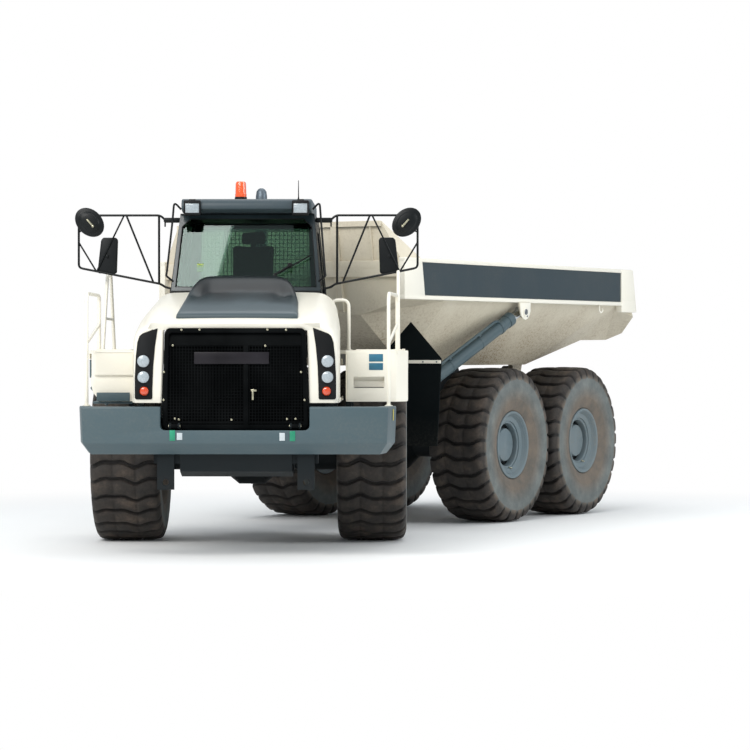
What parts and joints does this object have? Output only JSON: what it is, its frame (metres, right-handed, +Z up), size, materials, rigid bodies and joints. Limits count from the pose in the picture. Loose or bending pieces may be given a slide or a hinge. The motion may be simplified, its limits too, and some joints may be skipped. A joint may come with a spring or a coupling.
{
  "type": "articulated dump truck",
  "caption": "Off-road articulated dump truck: cab and engine on a front frame, steered by a centre hitch, with a tipping load body on a bogie.",
  "frame": {"origin": "on the ground, under the middle of the whole truck's box as it stands with its rear frame swung", "axes": "+Z up, the cab faces -Y, the truck's left side is +X; the rear frame is swung to +X"},
  "size_m": [6.5706, 11.1047, 3.92],
  "materials": {
    "cream_paint": "satin",
    "slate_paint": "satin",
    "frame_paint": "satin",
    "black_paint": "satin",
    "roof_paint": "satin",
    "scoop_paint": "matte",
    "grille_black": "matte",
    "stripe_paint": "satin",
    "engine_metal": "matte",
    "stack_steel": "satin",
    "rod_chrome": "polished",
    "rim_paint": "satin",
    "tyre_rubber": "matte",
    "flap_rubber": "matte",
    "lamp_housing": "gloss",
    "seat_cloth": "matte",
    "cab_plastic": "matte",
    "glass": "gloss"
  },
  "bodies": {
    "front_frame": {"front_chassis": "frame_paint", "front_bumper": "slate_paint", "belly_guard": "frame_paint", "front_axle": "frame_paint", "engine_block": "engine_metal", "cab_shell": "black_paint", "cab_glass": "glass", "cab_roof": "roof_paint", "seat": "seat_cloth", "console": "cab_plastic", "fender_left": "cream_paint", "fender_right": "cream_paint", "handrails": "cream_paint", "mirrors": "black_paint", "roof_lamps": "lamp_housing", "exhaust_stack": "stack_steel"},
    "hood_body": {"hood": "cream_paint", "hood_scoop": "scoop_paint", "grille": "grille_black", "headlamps": "lamp_housing"},
    "door_body": {"cab_door": "black_paint", "door_glass": "glass"},
    "hitch": {"hitch_yoke": "frame_paint"},
    "rear_frame": {"rear_chassis": "frame_paint", "rear_bulkhead": "frame_paint", "bogie_axles": "frame_paint", "equaliser_beams": "frame_paint", "mud_flaps": "flap_rubber", "tail_lamps": "lamp_housing"},
    "dump_body": {"dump_floor": "cream_paint", "dump_sides": "cream_paint", "dump_headboard": "cream_paint", "body_rails": "cream_paint", "side_stripes": "stripe_paint"},
    "hoist_foot_left": {"hoist_barrel_left": "slate_paint"},
    "hoist_foot_right": {"hoist_barrel_right": "slate_paint"},
    "hoist_head_left": {"hoist_rod_left": "rod_chrome"},
    "hoist_head_right": {"hoist_rod_right": "rod_chrome"},
    "steer_foot_left": {"steer_barrel_left": "frame_paint"},
    "steer_foot_right": {"steer_barrel_right": "frame_paint"},
    "steer_head_left": {"steer_rod_left": "rod_chrome"},
    "steer_head_right": {"steer_rod_right": "rod_chrome"},
    "wheel_front_left": {"tyre_front_left": "tyre_rubber", "rim_front_left": "rim_paint"},
    "wheel_mid_left": {"tyre_mid_left": "tyre_rubber", "rim_mid_left": "rim_paint"},
    "wheel_rear_left": {"tyre_rear_left": "tyre_rubber", "rim_rear_left": "rim_paint"},
    "wheel_front_right": {"tyre_front_right": "tyre_rubber", "rim_front_right": "rim_paint"},
    "wheel_mid_right": {"tyre_mid_right": "tyre_rubber", "rim_mid_right": "rim_paint"},
    "wheel_rear_right": {"tyre_rear_right": "tyre_rubber", "rim_rear_right": "rim_paint"}
  },
  "joints": [
    {"name": "steer", "type": "hinge", "parent": "front_frame", "child": "hitch", "pos_m": [-1.42932, -1.11536, 1.07], "axis": [0, 0, 1], "range_deg": [-15.4, 74.6]},
    {"name": "oscillate", "type": "hinge", "parent": "hitch", "child": "rear_frame", "pos_m": [-1.22187, -0.75017, 1.07], "axis": [0.4939, 0.8695, 0], "range_deg": [-15, 15]},
    {"name": "tip", "type": "hinge", "parent": "rear_frame", "child": "dump_body", "pos_m": [1.21327, 3.53644, 1.77], "axis": [-0.8695, 0.4939, 0], "range_deg": [0, 65]},
    {"name": "hood_tilt", "type": "hinge", "parent": "front_frame", "child": "hood_body", "pos_m": [-1.42932, -5.52836, 1.33], "axis": [1, 0, 0], "range_deg": [0, 60]},
    {"name": "door_swing", "type": "hinge", "parent": "front_frame", "child": "door_body", "pos_m": [-0.59932, -2.28736, 2.7], "axis": [0, 0, 1], "range_deg": [0, 80]},
    {"name": "hoist_swing_left", "type": "hinge", "parent": "rear_frame", "child": "hoist_foot_left", "pos_m": [0.07307, -0.70374, 1.356], "axis": [0.2723, -0.7055, 0.6543], "range_deg": [-1, 7.6]},
    {"name": "hoist_slide_left", "type": "slide", "parent": "hoist_foot_left", "child": "hoist_head_left", "axis": [0.5993, 0.6563, 0.4583], "range_m": [0, 2.2704]},
    {"name": "hoist_swing_right", "type": "hinge", "parent": "rear_frame", "child": "hoist_foot_right", "pos_m": [-1.84504, 0.3859, 1.356], "axis": [0.7455, 0.1274, -0.6543], "range_deg": [-1, 7.6]},
    {"name": "hoist_slide_right", "type": "slide", "parent": "hoist_foot_right", "child": "hoist_head_right", "axis": [0.2569, 0.8508, 0.4583], "range_m": [0, 2.2704]},
    {"name": "steer_swing_left", "type": "hinge", "parent": "front_frame", "child": "steer_foot_left", "pos_m": [-0.74932, -2.16336, 1], "axis": [0, 0, 1], "range_deg": [-12, 12]},
    {"name": "steer_slide_left", "type": "slide", "parent": "steer_foot_left", "child": "steer_head_left", "axis": [-0.3639, 0.9315, 0], "range_m": [-0.0907, 0.4317]},
    {"name": "steer_swing_right", "type": "hinge", "parent": "front_frame", "child": "steer_foot_right", "pos_m": [-2.10932, -2.16336, 1], "axis": [0, 0, 1], "range_deg": [-12, 12]},
    {"name": "steer_slide_right", "type": "slide", "parent": "steer_foot_right", "child": "steer_head_right", "axis": [0.2577, 0.9662, 0], "range_m": [-0.4382, 0.092]},
    {"name": "spin_front_left", "type": "hinge", "parent": "front_frame", "child": "wheel_front_left", "pos_m": [-0.10582, -2.44336, 0.935], "axis": [1, 0, 0], "continuous": true},
    {"name": "spin_mid_left", "type": "hinge", "parent": "rear_frame", "child": "wheel_mid_left", "pos_m": [1.27787, 0.97068, 0.935], "axis": [0.8695, -0.4939, 0], "continuous": true},
    {"name": "spin_rear_left", "type": "hinge", "parent": "rear_frame", "child": "wheel_rear_left", "pos_m": [2.23315, 2.65229, 0.935], "axis": [0.8695, -0.4939, 0], "continuous": true},
    {"name": "spin_front_right", "type": "hinge", "parent": "front_frame", "child": "wheel_front_right", "pos_m": [-2.75282, -2.44336, 0.935], "axis": [1, 0, 0], "continuous": true},
    {"name": "spin_mid_right", "type": "hinge", "parent": "rear_frame", "child": "wheel_mid_right", "pos_m": [-1.02369, 2.27815, 0.935], "axis": [0.8695, -0.4939, 0], "continuous": true},
    {"name": "spin_rear_right", "type": "hinge", "parent": "rear_frame", "child": "wheel_rear_right", "pos_m": [-0.0684, 3.95975, 0.935], "axis": [0.8695, -0.4939, 0], "continuous": true}
  ],
  "couplings": [
    {"joint": "hoist_swing_left", "follows": "tip", "ratio": 0.10147},
    {"joint": "hoist_slide_left", "follows": "tip", "m_per_rad": 1.9969},
    {"joint": "hoist_swing_right", "follows": "tip", "ratio": 0.10147},
    {"joint": "hoist_slide_right", "follows": "tip", "m_per_rad": 1.9969},
    {"joint": "steer_swing_left", "follows": "steer", "ratio": -0.09},
    {"joint": "steer_slide_left", "follows": "steer", "m_per_rad": 0.33},
    {"joint": "steer_swing_right", "follows": "steer", "ratio": -0.12},
    {"joint": "steer_slide_right", "follows": "steer", "m_per_rad": -0.335}
  ]
}
